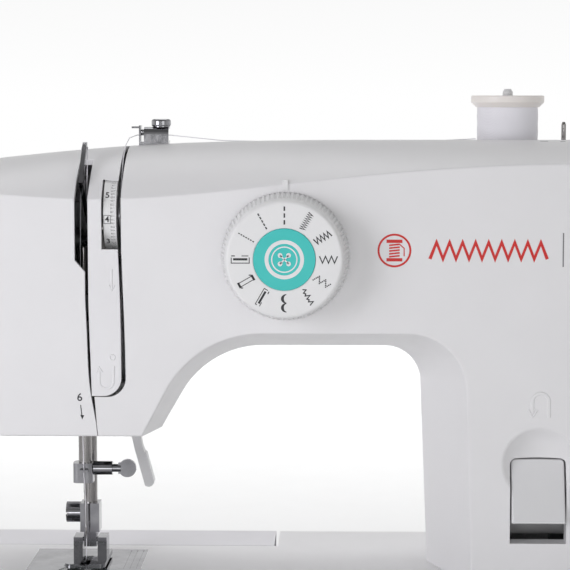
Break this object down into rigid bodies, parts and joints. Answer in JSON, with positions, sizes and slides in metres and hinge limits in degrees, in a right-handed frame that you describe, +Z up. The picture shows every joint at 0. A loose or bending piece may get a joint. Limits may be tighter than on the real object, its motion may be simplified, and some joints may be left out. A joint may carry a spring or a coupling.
{
  "type": "sewing machine",
  "caption": "Household free-arm sewing machine with handwheel, stitch dial, thread spool on top and a slide-off accessory tray.",
  "frame": {"origin": "centre of the footprint on the table, at the underside of the rubber feet", "axes": "+X to the handwheel, -Y to the person sewing, +Z up"},
  "size_m": [0.38, 0.158, 0.305],
  "materials": {
    "shell": "satin off-white moulding",
    "tray_shell": "fine-textured off-white moulding",
    "dial_plastic": "satin white",
    "teal_plastic": "smooth teal",
    "grey_plastic": "light grey",
    "dark_plastic": "black",
    "cream_plastic": "cream",
    "clear_plastic": "clear",
    "rubber": "matt",
    "chrome": "polished",
    "steel": "ground",
    "casting": "cast",
    "motor_paint": "satin black",
    "thread": "spun polyester, white",
    "felt": "felt"
  },
  "bodies": {
    "casing": {"arm_frame": "casting", "base_housing": "shell", "bobbin_case": "dark_plastic", "bobbin_winder_stop": "grey_plastic", "bottom_plate": "tray_shell", "dial_pointer": "dial_plastic", "face_plate": "shell", "front_cover": "shell", "guide_screw": "chrome", "lamp": "clear_plastic", "motor": "motor_paint", "motor_belt": "rubber", "needle_plate": "chrome", "power_panel": "dark_plastic", "presser_spring": "steel", "pretension_disc": "chrome", "rear_cover": "shell", "rear_screws": "steel", "rubber_feet": "rubber", "spool_felt": "felt", "spool_pin": "cream_plastic", "tension_discs": "chrome", "thread_cutter": "grey_plastic", "thread_guide_bracket": "chrome", "thread_path_cover": "shell", "timing_belt": "rubber", "upper_thread": "thread"},
    "bobbin_cover": {"bobbin_cover": "clear_plastic"},
    "feed_dogs": {"feed_dogs": "steel"},
    "accessory_tray": {"accessory_tray": "tray_shell"},
    "tray_door": {"tray_door": "tray_shell"},
    "rotary_hook": {"rotary_hook": "steel"},
    "bobbin": {"bobbin": "clear_plastic", "bobbin_thread": "thread"},
    "lower_shaft": {"lower_shaft": "steel"},
    "motor_pulley": {"motor_pulley": "steel"},
    "main_shaft": {"main_shaft": "steel", "handwheel": "shell", "clutch_knob": "dial_plastic"},
    "needle_bar": {"needle_bar": "steel", "needle_clamp": "chrome", "needle_clamp_screw": "chrome", "needle": "steel", "needle_bar_connector": "steel"},
    "take_up_lever": {"take_up_lever": "chrome"},
    "presser_bar": {"presser_bar": "steel", "presser_bar_collar": "steel", "presser_foot_ankle": "chrome", "ankle_screw": "chrome", "presser_foot": "chrome"},
    "presser_foot_lifter": {"presser_foot_lifter": "grey_plastic"},
    "tension_dial": {"tension_dial": "dial_plastic"},
    "stitch_dial": {"stitch_dial": "dial_plastic", "dial_centre_disc": "teal_plastic"},
    "reverse_lever": {"reverse_lever": "grey_plastic"},
    "winder_carriage": {"bobbin_winder_carriage": "grey_plastic"},
    "winder_spindle": {"bobbin_winder_spindle": "steel"},
    "spool": {"thread_spool": "cream_plastic", "spool_thread": "thread"},
    "power_switch": {"power_switch": "dark_plastic"}
  },
  "joints": [
    {"name": "handwheel_turn", "type": "hinge", "parent": "casing", "child": "main_shaft", "pos_m": [0, 0.012, 0.228], "axis": [1, 0, 0], "continuous": true},
    {"name": "lower_shaft_turn", "type": "hinge", "parent": "casing", "child": "lower_shaft", "pos_m": [0, 0.012, 0.038], "axis": [1, 0, 0], "continuous": true},
    {"name": "motor_turn", "type": "hinge", "parent": "casing", "child": "motor_pulley", "pos_m": [0.09, 0.048, 0.04], "axis": [1, 0, 0], "continuous": true},
    {"name": "hook_turn", "type": "hinge", "parent": "casing", "child": "rotary_hook", "pos_m": [-0.119, -0.014, 0.055], "axis": [0, 0, 1], "continuous": true},
    {"name": "bobbin_turn", "type": "hinge", "parent": "casing", "child": "bobbin", "pos_m": [-0.119, -0.014, 0.06], "axis": [0, 0, 1], "continuous": true},
    {"name": "bobbin_cover_slide", "type": "slide", "parent": "casing", "child": "bobbin_cover", "axis": [0, -1, 0], "range_m": [0, 0.017]},
    {"name": "feed_stroke", "type": "slide", "parent": "casing", "child": "feed_dogs", "axis": [0, 1, 0], "range_m": [-0.002, 0.002]},
    {"name": "tray_slide", "type": "slide", "parent": "casing", "child": "accessory_tray", "axis": [-1, 0, 0], "range_m": [0, 0.2]},
    {"name": "tray_door_swing", "type": "hinge", "parent": "accessory_tray", "child": "tray_door", "pos_m": [-0.11, -0.0768, 0.0166], "axis": [1, 0, 0], "range_deg": [0, 85]},
    {"name": "needle_bar_stroke", "type": "slide", "parent": "casing", "child": "needle_bar", "axis": [0, 0, -1], "range_m": [0, 0.029], "deforming": ["upper_thread"]},
    {"name": "take_up_swing", "type": "hinge", "parent": "casing", "child": "take_up_lever", "pos_m": [-0.12, 0.02, 0.232], "axis": [1, 0, 0], "range_deg": [0, 35]},
    {"name": "presser_lift", "type": "slide", "parent": "casing", "child": "presser_bar", "axis": [0, 0, 1], "range_m": [0, 0.006], "stiffness_N_per_m": 300, "springref_m": -0.01, "deforming": ["presser_spring"]},
    {"name": "lifter_swing", "type": "hinge", "parent": "casing", "child": "presser_foot_lifter", "pos_m": [-0.103, 0.045, 0.156], "axis": [0, -1, 0], "range_deg": [0, 50]},
    {"name": "tension_dial_turn", "type": "hinge", "parent": "casing", "child": "tension_dial", "pos_m": [-0.1025, -0.015, 0.2473], "axis": [1, 0, 0], "range_deg": [-150, 150]},
    {"name": "stitch_dial_turn", "type": "hinge", "parent": "casing", "child": "stitch_dial", "pos_m": [-0.0225, -0.044, 0.2292], "axis": [0, -1, 0], "continuous": true},
    {"name": "reverse_lever_press", "type": "hinge", "parent": "casing", "child": "reverse_lever", "pos_m": [0.0933, 0.012, 0.118], "axis": [1, 0, 0], "range_deg": [0, 8], "stiffness_Nm_per_rad": 1.8, "springref_deg": -5.73},
    {"name": "winder_shift", "type": "slide", "parent": "casing", "child": "winder_carriage", "axis": [1, 0, 0], "range_m": [0, 0.004]},
    {"name": "winder_turn", "type": "hinge", "parent": "winder_carriage", "child": "winder_spindle", "pos_m": [0.1122, 0.05, 0.27], "axis": [0, 0, 1], "continuous": true},
    {"name": "spool_turn", "type": "hinge", "parent": "casing", "child": "spool", "pos_m": [0.08355, 0.038, 0.29], "axis": [0, 0, 1], "continuous": true},
    {"name": "switch_rock", "type": "hinge", "parent": "casing", "child": "power_switch", "pos_m": [0.154, 0.01, 0.042], "axis": [0, 0, 1], "range_deg": [-7, 7]}
  ],
  "couplings": [
    {"joint": "lower_shaft_turn", "follows": "handwheel_turn", "ratio": 1},
    {"joint": "motor_turn", "follows": "handwheel_turn", "ratio": 2.7687},
    {"joint": "hook_turn", "follows": "handwheel_turn", "ratio": 2},
    {"joint": "take_up_swing", "follows": "needle_bar_stroke", "rad_per_m": 21.06},
    {"joint": "lifter_swing", "follows": "presser_lift", "rad_per_m": 145.4}
  ]
}
